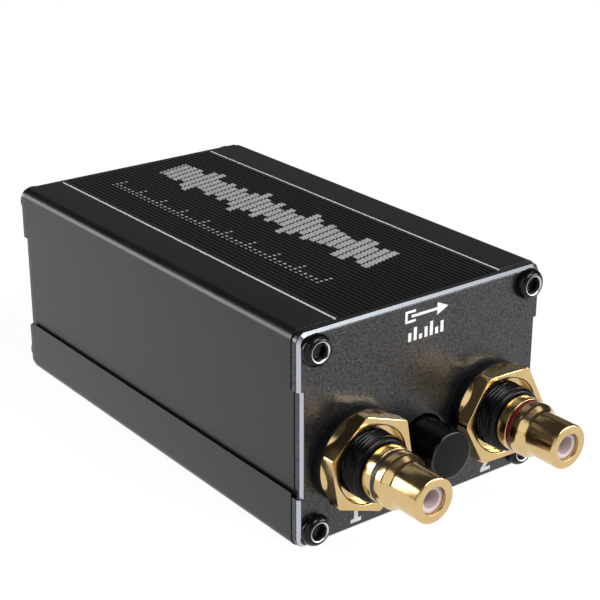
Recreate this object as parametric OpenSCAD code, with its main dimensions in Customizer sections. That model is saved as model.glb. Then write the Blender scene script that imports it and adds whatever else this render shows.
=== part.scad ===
// Ground loop isolator: a split aluminium extrusion closed by two end panels, with two phono
// sockets at each end, a push switch between the front ones and two audio transformers inside.
// Origin: middle of the underside. +Z is up, and the front panel faces -Y.

/* [Case] */
// Width of the extruded case
case_w = 54.3; // [53:0.1:70]
// Height of the extruded case
case_h = 39.5; // [38:0.1:56]
// Length over the two end panels
case_l = 93.3; // [88:0.1:140]
// Thickness of the floor and the roof
wall = 1.8; // [1.4:0.1:2.4]
// Thickness of the upper side walls, at their thickest
side_wall = 2; // [1.7:0.1:2.6]
// Radius of the four long edges
edge_r = 1.9; // [1:0.1:3]
// Depth of the shallow band along each side
band_depth = 0.65; // [0.3:0.05:0.8]
// Height of the lower shell's outer edge, where the band starts
seam_z = 10.45; // [10:0.05:12]
// Distance from the roof down to the band's end
band_drop = 10.2; // [7.5:0.1:15]
// Thickness of the lip outside the seam
lip_t = 0.3; // [0.2:0.05:0.4]
// Depth of the seam's slot below the lip
seam_depth = 1.45; // [1:0.05:1.6]
// Thickness of the tongue inside the seam
tongue_t = 1; // [0.8:0.1:1.3]
// Height of the tongue above the lip
tongue_h = 2; // [1:0.1:4]

/* [Roof] */
// Distance between the two deep grooves of the roof
groove_span = 36.3; // [28:0.1:42]
// Width of each deep groove
groove_w = 0.6; // [0.4:0.05:1]
// Depth of each deep groove
groove_d = 0.4; // [0.2:0.05:0.7]
// Distance from one fine rib to the next
rib_pitch = 1.04; // [0.8:0.02:2]
// Depth of the valleys between the fine ribs
rib_d = 0.25; // [0.1:0.05:0.4]

/* [End panels] */
// Thickness of an end panel
panel_t = 1.8; // [1.4:0.1:3]
// How far a panel's edge lies inside the case's outline
panel_inset = 0.15; // [0:0.05:0.4]
// Width of the bevel round a panel's outer face
panel_bevel = 0.65; // [0.3:0.05:1]
// Corner radius of a panel
panel_r = 2; // [1.2:0.1:3]
// Height where the notch in each panel side starts
notch_low = 9.6; // [8:0.1:12]
// Distance from the roof down to the end of that notch
notch_drop = 10.4; // [7.5:0.1:15]

/* [Panel screws] */
// Distance of a screw from the case's side
screw_in_x = 3.5; // [3.3:0.1:4]
// Distance of a screw from the underside or the roof
screw_in_z = 3.35; // [3.3:0.05:4]
// Radius of the screw's shank
screw_r = 1.45; // [1.1:0.05:1.5]
// Length of the shank below the head
screw_l = 8; // [5:0.5:12]
// Radius of the button head
head_r = 2.85; // [2.4:0.05:3]
// Height of the button head
head_h = 1.65; // [1.2:0.05:2]
// Width across the flats of the head's hexagon socket
key_af = 2; // [1.5:0.1:2.5]
// Radius of the round channel that takes a screw
channel_r = 2.9; // [2.5:0.1:3.2]

/* [Sockets] */
// Distance from the case's side to the corners of a front nut
nut_margin = 2.61; // [2.3:0.01:4]
// Gap between the button cap and the corners of the nuts beside it
nut_button_gap = 1.26; // [0.8:0.01:2]
// Gap between the corners of the two rear nuts
rear_nut_gap = 5.12; // [2:0.01:7]
// Height of the socket axes
socket_z = 14.7; // [14.3:0.1:18]
// Radius of the outer contact, over which a plug slides
barrel_r = 4.05; // [3.95:0.01:4.15]
// Length of the outer contact's straight part
barrel_l = 6.45; // [5:0.05:9]
// Radius of the mouth in the outer contact
mouth_r = 2.43; // [2.3:0.01:2.8]
// Radius of the hole that takes the plug's pin
pin_hole_r = 1.6; // [1.5:0.01:1.7]
// Depth of that hole in the centre contact
pin_hole_l = 11; // [9:0.5:13]
// Radius of the two gold bands behind the taper
band_r = 5; // [4.7:0.05:5.3]
// Length of the taper between the bands and the straight part
taper_l = 1.15; // [0.6:0.05:2]
// Length of the front gold band
front_band_l = 1.6; // [1:0.1:3]
// Width of the colour ring between the bands
ring_w = 0.9; // [0.5:0.1:1.5]
// Length of the rear gold band
rear_band_l = 2.4; // [1.5:0.1:4]
// Radius of the stem that passes through the sleeve, as a share of the thread's radius
stem_ratio = 0.61; // [0.58:0.01:0.65]
// How far the sleeve stands out of the panel
sleeve_out = 7.5; // [6.5:0.1:9]
// How far the sleeve's flange behind the panel stands out past the thread
flange_w = 2.1; // [1:0.1:2.3]
// Thickness of the sleeve's flange
flange_t = 2; // [1.2:0.1:2.4]
// How far the insulating washer stands out past the nut's flats
washer_edge = 0.62; // [0.2:0.01:0.8]
// Thickness of the insulating washer
washer_t = 1.7; // [1:0.1:2.2]
// Thickness of the hexagon nut
nut_t = 3.3; // [2.4:0.1:4]
// How far the round rim at the nut's back stands out past the flats
nut_rim = 0.5; // [0.2:0.05:0.6]
// Length of the cone that leads from that rim to the flats
nut_rim_l = 1.1; // [0.8:0.1:2]
// Length over which the nut's corners rise from that rim
nut_corner_l = 1; // [0.6:0.1:1.5]
// Radius of the recess in the nut's front, as a share of the distance to the flats
recess_ratio = 0.85; // [0.8:0.01:0.88]
// Radius of the sleeve's thread, as a share of the distance to the flats
thread_ratio = 0.722; // [0.68:0.001:0.74]
// Depth of the recess in the nut's front
nut_recess_d = 1.5; // [0.8:0.1:2]
// Turn of the left nut about its axis
left_nut_turn = -20; // [-30:1:30]
// Turn of the right nut about its axis
right_nut_turn = -2.5; // [-30:0.5:30]
// Thickness of the solder lug
lug_t = 0.4; // [0.3:0.1:0.8]
// Thickness of the inner nut
inner_nut_t = 2; // [1.5:0.1:2.5]
// Wall between the inner nut's flats and its hole
inner_nut_wall = 1.15; // [0.8:0.05:1.3]
// Radius of the stiff link wires
wire_r = 0.4; // [0.3:0.05:0.5]

/* [Push switch] */
// Height of the button's axis
button_z = 12.65; // [12.3:0.05:14]
// Radius of the button cap, as a share of the distance to the nuts' corners
button_ratio = 0.466; // [0.4:0.002:0.48]
// How far the cap stands out of the panel at rest
button_out = 7.55; // [5:0.05:9]
// How far the cap reaches behind the panel's face
button_in = 3.2; // [2.8:0.1:4]
// Travel of the button
button_travel = 2.5; // [1.5:0.1:3]
// Gap between the cap and its hole in the panel
button_gap = 0.45; // [0.25:0.05:0.6]
// Side of the square plunger
plunger_w = 3.3; // [2.8:0.1:3.6]
// Outer width and height of the switch housing
housing_w = 8.3; // [7.8:0.1:8.8]
// Length of the switch housing
housing_l = 14; // [13:0.5:18]
// Wall of the switch housing
housing_wall = 0.9; // [0.7:0.1:1.2]
// Turns of the return spring
spring_turns = 6; // [4:1:8]
// Wire radius of the return spring
spring_wire_r = 0.22; // [0.15:0.01:0.3]

/* [Circuit board] */
// Height of the board's underside
board_z = 6.6; // [6.4:0.1:7]
// Thickness of the board
board_t = 1.6; // [1:0.1:2]
// Width of the board's tongues at the two ends
board_tongue_w = 12; // [10:0.5:12.5]
// Distance from a panel's face to the wide part of the board
board_back = 11; // [10.5:0.1:16]
// Radius of the pins that go through the board
pin_r = 0.4; // [0.3:0.05:0.5]
// How far the pins stand out under the board
pin_out = 1.5; // [0.5:0.1:2.5]

/* [Transformers] */
// Gap between the two laminated cores
core_gap = 2.4; // [1.5:0.1:4]
// Gap between a core and the upper side wall beside it
core_side_gap = 1.95; // [1.5:0.05:3]
// Distance of the transformers behind the middle of the case
trafo_y = 4; // [-6:0.5:12]
// Height of the laminated core
core_h = 19; // [16:0.1:24]
// Stack depth of the laminated core
core_d = 8; // [6:0.5:12]
// Width of the core's middle leg
leg_w = 6; // [5:0.1:7]
// Width of the outer legs and height of the yokes
yoke_w = 3.2; // [2.6:0.1:3.6]
// Overall depth of the bobbin
bobbin_d = 18; // [16:0.5:22]
// Wall of the bobbin
bobbin_wall = 0.7; // [0.5:0.1:0.9]

/* [Fits] */
// Gap all round a piece that slides or passes through another
fit = 0.05; // [0.03:0.01:0.1]
// Gap round a piece that lies loosely in a slot
slot_fit = 0.2; // [0.1:0.05:0.25]

/* [Hidden] */
$fn = 64;
// How far a cut runs past the piece that it cuts
cut = 1;

// Case
half_w = case_w / 2;
body_l = case_l - 2 * panel_t;
face_y = case_l / 2;
upper_in_x = half_w - side_wall;
band_x = half_w - band_depth;
band_top = case_h - band_drop;
tongue_out_x = upper_in_x - slot_fit;
tongue_in_x = tongue_out_x - tongue_t;
seat_z = seam_z - seam_depth;
screw_x = half_w - screw_in_x;
screw_zs = [screw_in_z, case_h - screw_in_z];
valley_w = rib_pitch / 2;
valleys = floor((groove_span - 2 * groove_w) / rib_pitch);
screw_hole_r = screw_r + fit;

// Panels
panel_w = case_w - 2 * panel_inset;
panel_h = case_h - 2 * panel_inset;
notch_high = case_h - notch_drop;

// Nuts fill the width between the button cap and the case's sides
nut_corner_r = (half_w - nut_margin - nut_button_gap) / (2 + button_ratio);
nut_af = nut_corner_r * sqrt(3);
nut_rim_r = nut_af / 2 + nut_rim;
nut_recess_r = nut_af / 2 * recess_ratio;
washer_r = nut_af / 2 + washer_edge;
sleeve_r = nut_af / 2 * thread_ratio;
sleeve_hole_r = sleeve_r + slot_fit;
stem_r = sleeve_r * stem_ratio;
button_r = nut_corner_r * button_ratio;
button_hole_r = button_r + button_gap;
flange_r = sleeve_r + flange_w;
front_socket_x = button_r + nut_button_gap + nut_corner_r;
rear_socket_x = nut_corner_r + rear_nut_gap / 2;

// Socket, measured along its axis from the panel's outer face
band_back_s = sleeve_out;
ring_back_s = band_back_s + rear_band_l;
ring_front_s = ring_back_s + ring_w;
taper_back_s = ring_front_s + front_band_l;
barrel_back_s = taper_back_s + taper_l;
barrel_front_s = barrel_back_s + barrel_l;
ring_depth = 0.7;
ring_recess = 0.08;
band_bevel = 0.3;
rim_r = 0.15;
insulator_in = 0.5;
insulator_front_s = barrel_front_s - insulator_in;
contact_in = 4;
contact_front_s = insulator_front_s - contact_in;
contact_wall = 0.35;
contact_r = pin_hole_r + contact_wall;
flange_back_s = -panel_t - flange_t;
lug_back_s = flange_back_s - lug_t;
inner_nut_back_s = lug_back_s - inner_nut_t;
stem_end = 0.5;
stem_back_s = inner_nut_back_s - stem_end;
tail_l = 2;
tail_back_s = stem_back_s - tail_l;
tail_r = 0.6;

// Board, and the lugs and wires that lead to it
board_top = board_z + board_t;
lug_ring_w = 1.9;
lug_r = stem_r + lug_ring_w;
lug_tail_w = 2.2;
lug_drop = socket_z - board_top;
inner_nut_af = 2 * (stem_r + inner_nut_wall);
signal_bend = 2;
signal_land = 3;
ground_land = 1.2;
board_w = 2 * (tongue_out_x - slot_fit);
board_l = body_l - 2 * slot_fit;
pin_hole = pin_r + fit;

// Transformer
core_w = upper_in_x - core_side_gap - core_gap / 2;
trafo_x = (core_gap + core_w) / 2;
core_leg_h = core_h - 2 * yoke_w;
window_w = (core_w - leg_w - 2 * yoke_w) / 2;
bobbin_w = leg_w + 2 * window_w - 2 * slot_fit;
bobbin_low = board_top + yoke_w + slot_fit;
bobbin_high = board_top + core_h - yoke_w - slot_fit;
tube_w = leg_w + 2 * fit + 2 * bobbin_wall;
tube_d = core_d + 2 * fit + 2 * bobbin_wall;
foot_d = (bobbin_d - core_d) / 2 - slot_fit;
foot_y = bobbin_d / 2 - foot_d / 2;
pin_step = bobbin_w / 4 - 1.5 * pin_r;
pin_xs = [for (i = [-1.5:1:1.5]) i * pin_step];
winding_inset = 0.4;
winding_r = 2;

// Switch, measured along its axis from the panel's outer face
cap_clear = 0.5;
housing_front_s = -button_in - button_travel - cap_clear;
housing_back_s = housing_front_s - housing_l;
collar_w = housing_w - 2 * housing_wall - 2 * slot_fit;
collar_t = 1.2;
collar_front_s = housing_front_s - housing_wall - fit;
collar_back_s = collar_front_s - collar_t;
spring_back_s = housing_back_s + housing_wall;
spring_edge = 0.2;
spring_r = collar_w / 2 - spring_wire_r - spring_edge;
guide_gap = 0.35;
guide_r = spring_r - spring_wire_r - guide_gap;
guide_end = 1;
guide_back_s = spring_back_s + button_travel + guide_end;
cap_front_t = 2;
plunger_front_s = button_out - cap_front_t;
cap_bevel = 0.3;
switch_pin_x = housing_w * 0.3;
switch_pin_step = housing_l / 4;

// Shared shapes

// A rectangle with round corners, its lower left corner at x, z
module round_rect(x, z, w, h, r) {
    translate([x + r, z])
        square([w - 2 * r, h]);
    translate([x, z + r])
        square([w, h - 2 * r]);
    for (cx = [x + r, x + w - r], cz = [z + r, z + h - r])
        translate([cx, cz])
            circle(r);
}

// A profile in X and Z, drawn out along the case
module along_case(length) {
    translate([0, length / 2, 0])
        rotate([90, 0, 0])
            linear_extrude(length)
                children();
}

// Turns a piece so that its own +Z leaves the front (-1) or rear (1) panel
module on_panel(end, x, z) {
    translate([x, end * face_y, z])
        rotate([-90 * end, 0, 0])
            children();
}

// A round bar with a hole through it, between two distances along its axis
module ring_bar(back, front, r_out, r_in) {
    difference() {
        translate([0, 0, back])
            cylinder(h = front - back, r = r_out);
        translate([0, 0, back - cut])
            cylinder(h = front - back + 2 * cut, r = r_in);
    }
}

// A hexagon bar given by its width across the flats
module hex_bar(back, front, af) {
    translate([0, 0, back])
        cylinder(h = front - back, r = af / sqrt(3), $fn = 6);
}

// Case

// The outline of the closed case, with the shallow band along its sides
module case_outline() {
    difference() {
        round_rect(-half_w, 0, case_w, case_h, edge_r);
        for (x = [-half_w - cut, band_x])
            translate([x, seam_z])
                square([band_depth + cut, band_top - seam_z]);
    }
}

// The round channels for the panel screws at one height
module channels(z) {
    for (x = [-screw_x, screw_x])
        translate([x, z])
            circle(channel_r);
}

module channel_holes(z) {
    for (x = [-screw_x, screw_x])
        translate([x, z])
            circle(screw_hole_r);
}

// A V-shaped valley in the roof
module valley(x, width, depth) {
    translate([x, case_h])
        polygon([[-width / 2, 0], [0, -depth], [width / 2, 0], [width / 2, cut], [-width / 2, cut]]);
}

module roof_profile() {
    difference() {
        intersection() {
            case_outline();
            union() {
                translate([-half_w, seam_z])
                    square([case_w, case_h - seam_z]);
                translate([-band_x, seat_z])
                    square([2 * band_x, seam_depth]);
            }
        }
        translate([-upper_in_x, 0])
            square([2 * upper_in_x, case_h - wall]);
        for (x = [-groove_span / 2, groove_span / 2])
            valley(x, groove_w, groove_d);
        for (i = [0:valleys - 1])
            valley((i - (valleys - 1) / 2) * rib_pitch, valley_w, rib_d);
    }
}

module top_shell() {
    color("#2b2c2e")
        along_case(body_l)
            difference() {
                union() {
                    roof_profile();
                    intersection() {
                        channels(screw_zs[1]);
                        round_rect(-half_w, 0, case_w, case_h, edge_r);
                    }
                }
                channel_holes(screw_zs[1]);
            }
}

module floor_profile() {
    difference() {
        intersection() {
            round_rect(-half_w, 0, case_w, case_h, edge_r);
            translate([-half_w, 0])
                square([case_w, seam_z + tongue_h]);
        }
        translate([-tongue_in_x, wall])
            square([2 * tongue_in_x, case_h]);
        for (side = [-1, 1]) {
            // Slot that takes the upper shell's edge
            translate([side * (tongue_out_x + half_w - lip_t) / 2, seat_z + case_h / 2])
                square([half_w - lip_t - tongue_out_x, case_h], center = true);
            translate([side * half_w, seam_z + case_h / 2])
                square([2 * (half_w - tongue_out_x), case_h], center = true);
            // Slot for the edge of the board
            translate([side * tongue_in_x, board_z + board_t / 2])
                square([2 * tongue_t, board_t + 2 * slot_fit], center = true);
        }
    }
}

module bottom_shell() {
    color("#2b2c2e")
        along_case(body_l)
            difference() {
                union() {
                    floor_profile();
                    intersection() {
                        channels(screw_zs[0]);
                        round_rect(-half_w, 0, case_w, board_z - slot_fit, edge_r);
                    }
                }
                channel_holes(screw_zs[0]);
            }
}

// End panels

// A plate whose outer face, at z = 0, has a bevel all round
module bevelled_plate() {
    cx = panel_w / 2 - panel_r;
    cz = panel_h / 2 - panel_r;
    for (x = [-cx, cx], y = [-cz, cz])
        translate([x, y, 0])
            rotate_extrude()
                polygon([
                    [0, -panel_t], [panel_r, -panel_t], [panel_r, -panel_bevel],
                    [panel_r - panel_bevel, 0], [0, 0]
                ]);
    translate([-cx, 0, 0])
        rotate([90, 0, 90])
            linear_extrude(2 * cx)
                bevel_section(panel_h / 2);
    translate([0, cz, 0])
        rotate([90, 0, 0])
            linear_extrude(2 * cz)
                bevel_section(panel_w / 2);
}

module bevel_section(half) {
    polygon([
        [-half, -panel_t], [half, -panel_t], [half, -panel_bevel],
        [half - panel_bevel, 0], [-half + panel_bevel, 0], [-half, -panel_bevel]
    ]);
}

// Cuts the notch in one side of a plate, bevelled like the rest of its edge
module side_notch(side) {
    edge = panel_w / 2 - band_depth;
    low = notch_low - case_h / 2;
    high = notch_high - case_h / 2;
    translate([0, high, 0])
        rotate([90, 0, 0])
            linear_extrude(high - low)
                polygon([
                    [side * edge, -panel_t - cut], [side * panel_w, -panel_t - cut],
                    [side * panel_w, cut], [side * (edge - panel_bevel - cut), cut],
                    [side * edge, -panel_bevel]
                ]);
}

module panel_hole(r) {
    translate([0, 0, -panel_t - cut])
        cylinder(h = panel_t + 2 * cut, r = r);
}

module end_panel(end) {
    color("#3c3d40")
        difference() {
            on_panel(end, 0, case_h / 2)
                rotate([0, 0, end > 0 ? 180 : 0])
                    difference() {
                        bevelled_plate();
                        for (side = [-1, 1])
                            side_notch(side);
                    }
            for (x = [-screw_x, screw_x], z = screw_zs)
                on_panel(end, x, z)
                    panel_hole(screw_hole_r);
            for (side = [-1, 1])
                socket_at(end, side)
                    panel_hole(sleeve_hole_r);
            if (end < 0)
                on_panel(end, 0, button_z)
                    panel_hole(button_hole_r);
        }
}

// A button-head screw, its seat at z = 0
module panel_screw() {
    edge_h = 0.3;
    key_depth = 1.05;
    top_r = head_r * 0.58;
    dome_z = (head_r * head_r - top_r * top_r + edge_h * edge_h - head_h * head_h)
        / (2 * (edge_h - head_h));
    dome_r = sqrt(head_r * head_r + pow(edge_h - dome_z, 2));
    difference() {
        intersection() {
            cylinder(h = head_h, r = head_r);
            translate([0, 0, dome_z])
                sphere(dome_r);
        }
        hex_bar(head_h - key_depth, head_h + cut, key_af);
    }
    translate([0, 0, -screw_l])
        cylinder(h = screw_l, r = screw_r);
}

module panel_screws(end) {
    color("#151516")
        for (x = [-screw_x, screw_x], z = screw_zs)
            on_panel(end, x, z)
                panel_screw();
}

// Sockets

function socket_x(end) = end < 0 ? front_socket_x : rear_socket_x;

module socket_at(end, side) {
    on_panel(end, side * socket_x(end), socket_z)
        children();
}

// Turned outer contact: straight barrel, taper, two bands and a stem
module socket_shell() {
    color("#d8b565")
        rotate_extrude()
            polygon([
                [mouth_r, stem_back_s], [stem_r, stem_back_s], [stem_r, band_back_s],
                [band_r - band_bevel, band_back_s], [band_r, band_back_s + band_bevel],
                [band_r, ring_back_s], [band_r - ring_depth, ring_back_s],
                [band_r - ring_depth, ring_front_s], [band_r, ring_front_s], [band_r, taper_back_s],
                [barrel_r, barrel_back_s], [barrel_r, barrel_front_s - rim_r],
                [barrel_r - rim_r, barrel_front_s], [mouth_r + rim_r, barrel_front_s],
                [mouth_r, barrel_front_s - rim_r]
            ]);
}

module socket_ring(shade) {
    color(shade)
        ring_bar(ring_back_s + fit, ring_front_s - fit, band_r - ring_recess, band_r - ring_depth + fit);
}

module socket_insulator() {
    color("#e9e6ea")
        difference() {
            ring_bar(stem_back_s, insulator_front_s, mouth_r - fit, pin_hole_r + fit);
            translate([0, 0, stem_back_s - cut])
                cylinder(h = contact_front_s - stem_back_s + cut, r = contact_r + fit);
        }
}

// Centre contact: a tube that takes the plug's pin, closed behind, with a solder tail
module socket_contact() {
    color("#d8b565") {
        difference() {
            translate([0, 0, stem_back_s])
                cylinder(h = contact_front_s - stem_back_s, r = contact_r);
            translate([0, 0, contact_front_s - pin_hole_l])
                cylinder(h = pin_hole_l + cut, r = pin_hole_r);
        }
        translate([0, 0, tail_back_s])
            cylinder(h = stem_back_s - tail_back_s, r = tail_r);
    }
}

// Threaded bush with a flange behind the panel
module socket_sleeve() {
    shoulder = (sleeve_r - stem_r) / 4;
    color("#111112")
        rotate_extrude()
            polygon([
                [stem_r + fit, flange_back_s], [flange_r, flange_back_s],
                [flange_r, -panel_t], [sleeve_r, -panel_t],
                [sleeve_r, sleeve_out - shoulder], [sleeve_r - shoulder, sleeve_out],
                [stem_r + fit, sleeve_out]
            ]);
}

module socket_washer() {
    color("#0c0c0d")
        ring_bar(0, washer_t, washer_r, sleeve_hole_r);
}

// Hexagon nut with a round rim at its back and a recess in its front
module socket_nut(turn) {
    back = washer_t;
    front = back + nut_t;
    corner_cut = 0.12;
    edge_r = nut_corner_r - corner_cut;
    start_r = nut_rim_r - corner_cut;
    recess_bevel = 0.3;
    color("#dcb766")
        rotate([0, 0, turn])
            difference() {
                union() {
                    intersection() {
                        hex_bar(back, front, nut_af);
                        rotate_extrude()
                            polygon([
                                [0, back], [start_r, back], [edge_r, back + nut_corner_l],
                                [edge_r, front + cut], [0, front + cut]
                            ]);
                    }
                    translate([0, 0, back])
                        cylinder(h = nut_rim_l, r1 = nut_rim_r, r2 = nut_af / 2);
                }
                translate([0, 0, back - cut])
                    cylinder(h = nut_t + 2 * cut, r = sleeve_r + fit);
                translate([0, 0, front - nut_recess_d])
                    cylinder(h = nut_recess_d + cut, r = nut_recess_r);
                translate([0, 0, front - recess_bevel])
                    cylinder(
                        h = recess_bevel + cut,
                        r1 = nut_recess_r,
                        r2 = nut_recess_r + recess_bevel + cut
                    );
            }
}

module inner_nuts(end) {
    color("#c9a659")
        for (side = [-1, 1])
            socket_at(end, side)
                difference() {
                    hex_bar(inner_nut_back_s, lug_back_s, inner_nut_af);
                    translate([0, 0, inner_nut_back_s - cut])
                        cylinder(h = inner_nut_t + 2 * cut, r = stem_r + fit);
                }
}

// Flat tinned ring with a tail that hangs down to its strap
module ground_lugs(end) {
    color("#b9bcc0")
        for (side = [-1, 1])
            socket_at(end, side)
                difference() {
                    union() {
                        translate([0, 0, lug_back_s])
                            cylinder(h = lug_t, r = lug_r);
                        translate([-lug_tail_w / 2, end > 0 ? 0 : -lug_drop, lug_back_s])
                            cube([lug_tail_w, lug_drop, lug_t]);
                    }
                    translate([0, 0, lug_back_s - cut])
                        cylinder(h = lug_t + 2 * cut, r = stem_r + fit);
                }
}

// Puts a piece made for a front socket at all four sockets
module at_each_socket() {
    for (end = [-1, 1], side = [-1, 1])
        mirror([0, end > 0 ? 1 : 0, 0])
            translate([side * socket_x(end), 0, 0])
                children();
}

// Wires that run inwards from the centre contacts, then bend down to the board
module signal_wires() {
    start_y = -face_y - tail_back_s;
    bend_y = -face_y + board_back + signal_land - signal_bend;
    bend_z = socket_z - signal_bend;
    color("#c8cacd")
        at_each_socket() {
            translate([0, bend_y, socket_z])
                rotate([90, 0, 0])
                    cylinder(h = bend_y - start_y, r = wire_r);
            translate([0, bend_y, bend_z])
                rotate([90, 0, 90])
                    rotate_extrude(angle = 90)
                        translate([signal_bend, 0])
                            circle(wire_r);
            translate([0, bend_y + signal_bend, board_top])
                cylinder(h = bend_z - board_top, r = wire_r);
        }
}

// Flat straps that lie on the board and meet the tails of the lugs
module ground_wires() {
    start_y = -face_y - lug_back_s;
    color("#c8cacd")
        at_each_socket()
            translate([-lug_tail_w / 2, start_y, board_top])
                cube([lug_tail_w, board_back + ground_land + lug_back_s, lug_t]);
}

// Inside

module board_pins(side) {
    for (x = pin_xs, y = [-foot_y, foot_y])
        translate([side * trafo_x + x, trafo_y + y, 0])
            children();
}

module switch_pin_places() {
    middle = -face_y - (housing_front_s + housing_back_s) / 2;
    for (x = [-switch_pin_x, switch_pin_x], i = [-1:1])
        translate([x, middle + i * switch_pin_step, 0])
            children();
}

module board_hole() {
    translate([0, 0, board_z - cut])
        cylinder(h = board_t + 2 * cut, r = pin_hole);
}

module circuit_board() {
    wide_l = case_l - 2 * board_back;
    color("#1f5a34")
        difference() {
            union() {
                translate([-board_w / 2, -wide_l / 2, board_z])
                    cube([board_w, wide_l, board_t]);
                translate([-board_tongue_w / 2, -board_l / 2, board_z])
                    cube([board_tongue_w, board_l, board_t]);
            }
            for (side = [-1, 1])
                board_pins(side)
                    board_hole();
            switch_pin_places()
                board_hole();
        }
}

module trafo_at(side) {
    translate([side * trafo_x, trafo_y, board_top])
        children();
}

// Stack of E and I laminations round two windows
module trafo_core(side) {
    color("#5d6066")
        trafo_at(side)
            difference() {
                translate([-core_w / 2, -core_d / 2, 0])
                    cube([core_w, core_d, core_h]);
                for (x = [-leg_w / 2 - window_w, leg_w / 2])
                    translate([x, -core_d / 2 - cut, yoke_w])
                        cube([window_w, core_d + 2 * cut, core_leg_h]);
            }
}

// Tube round the middle leg, with a flange at each end and two feet on the board
module trafo_bobbin(side) {
    low = bobbin_low - board_top;
    high = bobbin_high - board_top;
    color("#d9d2bf")
        trafo_at(side)
            difference() {
                union() {
                    for (z = [low, high - bobbin_wall])
                        translate([-bobbin_w / 2, -bobbin_d / 2, z])
                            cube([bobbin_w, bobbin_d, bobbin_wall]);
                    translate([-tube_w / 2, -tube_d / 2, low])
                        cube([tube_w, tube_d, high - low]);
                    for (y = [-bobbin_d / 2, bobbin_d / 2 - foot_d])
                        translate([-bobbin_w / 2, y, 0])
                            cube([bobbin_w, foot_d, low + bobbin_wall]);
                }
                translate([-leg_w / 2 - fit, -core_d / 2 - fit, -cut])
                    cube([leg_w + 2 * fit, core_d + 2 * fit, core_h + 2 * cut]);
            }
}

module trafo_winding(side) {
    low = bobbin_low - board_top + bobbin_wall;
    high = bobbin_high - board_top - bobbin_wall;
    wound_w = bobbin_w - 2 * winding_inset;
    wound_d = bobbin_d - 2 * winding_inset;
    color("#b7722f")
        trafo_at(side)
            difference() {
                translate([0, 0, low])
                    linear_extrude(high - low)
                        round_rect(-wound_w / 2, -wound_d / 2, wound_w, wound_d, winding_r);
                translate([-tube_w / 2, -tube_d / 2, low - cut])
                    cube([tube_w, tube_d, high - low + 2 * cut]);
            }
}

module trafo_pins(side) {
    color("#c8cacd")
        board_pins(side)
            translate([0, 0, board_z - pin_out])
                cylinder(h = board_t + pin_out, r = pin_r);
}

// Push switch

module switch_at() {
    on_panel(-1, 0, button_z)
        children();
}

module square_bar(back, front, width) {
    translate([-width / 2, -width / 2, back])
        cube([width, width, front - back]);
}

module switch_housing() {
    foot_h = button_z - board_top;
    color("#e4e1d8")
        switch_at()
            difference() {
                translate([-housing_w / 2, -foot_h, housing_back_s])
                    cube([housing_w, foot_h + housing_w / 2, housing_l]);
                square_bar(
                    housing_back_s + housing_wall,
                    housing_front_s - housing_wall,
                    housing_w - 2 * housing_wall
                );
                square_bar(
                    housing_front_s - housing_wall - cut,
                    housing_front_s + cut,
                    plunger_w + 2 * slot_fit
                );
            }
}

// Square bar from the cap to a collar inside the housing, then a round guide for the spring
module switch_plunger() {
    color("#1a1a1b")
        switch_at() {
            square_bar(collar_back_s, plunger_front_s, plunger_w);
            square_bar(collar_back_s, collar_front_s, collar_w);
            translate([0, 0, guide_back_s])
                cylinder(h = collar_back_s - guide_back_s, r = guide_r);
        }
}

// Points of a round wire wound into a helix
function helix_ring(turn, r, pitch, wire, sides) = [
    for (k = [0:sides - 1])
        let (a = 360 * turn, b = 360 * k / sides)
            [(r + wire * cos(b)) * cos(a), (r + wire * cos(b)) * sin(a), pitch * turn + wire * sin(b)]
];

module switch_spring() {
    sides = 8;
    turn_steps = 14;
    steps = spring_turns * turn_steps;
    length = collar_back_s - spring_back_s - 2 * fit - 2 * spring_wire_r;
    pitch = length / spring_turns;
    points = [
        for (i = [0:steps])
            each helix_ring(i / turn_steps, spring_r, pitch, spring_wire_r, sides)
    ];
    walls = [
        for (i = [0:steps - 1], k = [0:sides - 1])
            let (n = (k + 1) % sides)
                [i * sides + k, (i + 1) * sides + k, (i + 1) * sides + n, i * sides + n]
    ];
    start_cap = [for (k = [0:sides - 1]) k];
    end_cap = [for (k = [sides - 1:-1:0]) steps * sides + k];
    color("#a8abb0")
        switch_at()
            translate([0, 0, spring_back_s + fit + spring_wire_r])
                polyhedron(points, concat(walls, [start_cap, end_cap]));
}

module switch_pins() {
    color("#c8cacd")
        switch_pin_places()
            translate([0, 0, board_z - pin_out])
                cylinder(h = board_t + pin_out, r = pin_r);
}

// Round cap with a bevelled front edge, pushed over the plunger
module button_cap() {
    color("#101011")
        switch_at()
            difference() {
                rotate_extrude()
                    polygon([
                        [0, -button_in], [button_r, -button_in], [button_r, button_out - cap_bevel],
                        [button_r - cap_bevel, button_out], [0, button_out]
                    ]);
                square_bar(-button_in - cut, plunger_front_s + fit, plunger_w + 2 * fit);
            }
}

top_shell();
bottom_shell();
end_panel(-1);  // front_panel
end_panel(1);  // rear_panel
panel_screws(-1);  // front_screws
panel_screws(1);  // rear_screws
socket_at(-1, -1) socket_shell();  // front_left_shell
socket_at(-1, -1) socket_ring("#151515");  // front_left_ring
socket_at(-1, -1) socket_insulator();  // front_left_insulator
socket_at(-1, -1) socket_contact();  // front_left_contact
socket_at(-1, -1) socket_sleeve();  // front_left_sleeve
socket_at(-1, -1) socket_washer();  // front_left_washer
socket_at(-1, -1) socket_nut(left_nut_turn);  // front_left_nut
socket_at(-1, 1) socket_shell();  // front_right_shell
socket_at(-1, 1) socket_ring("#7a1016");  // front_right_ring
socket_at(-1, 1) socket_insulator();  // front_right_insulator
socket_at(-1, 1) socket_contact();  // front_right_contact
socket_at(-1, 1) socket_sleeve();  // front_right_sleeve
socket_at(-1, 1) socket_washer();  // front_right_washer
socket_at(-1, 1) socket_nut(right_nut_turn);  // front_right_nut
socket_at(1, -1) socket_shell();  // rear_left_shell
socket_at(1, -1) socket_ring("#151515");  // rear_left_ring
socket_at(1, -1) socket_insulator();  // rear_left_insulator
socket_at(1, -1) socket_contact();  // rear_left_contact
socket_at(1, -1) socket_sleeve();  // rear_left_sleeve
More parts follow.
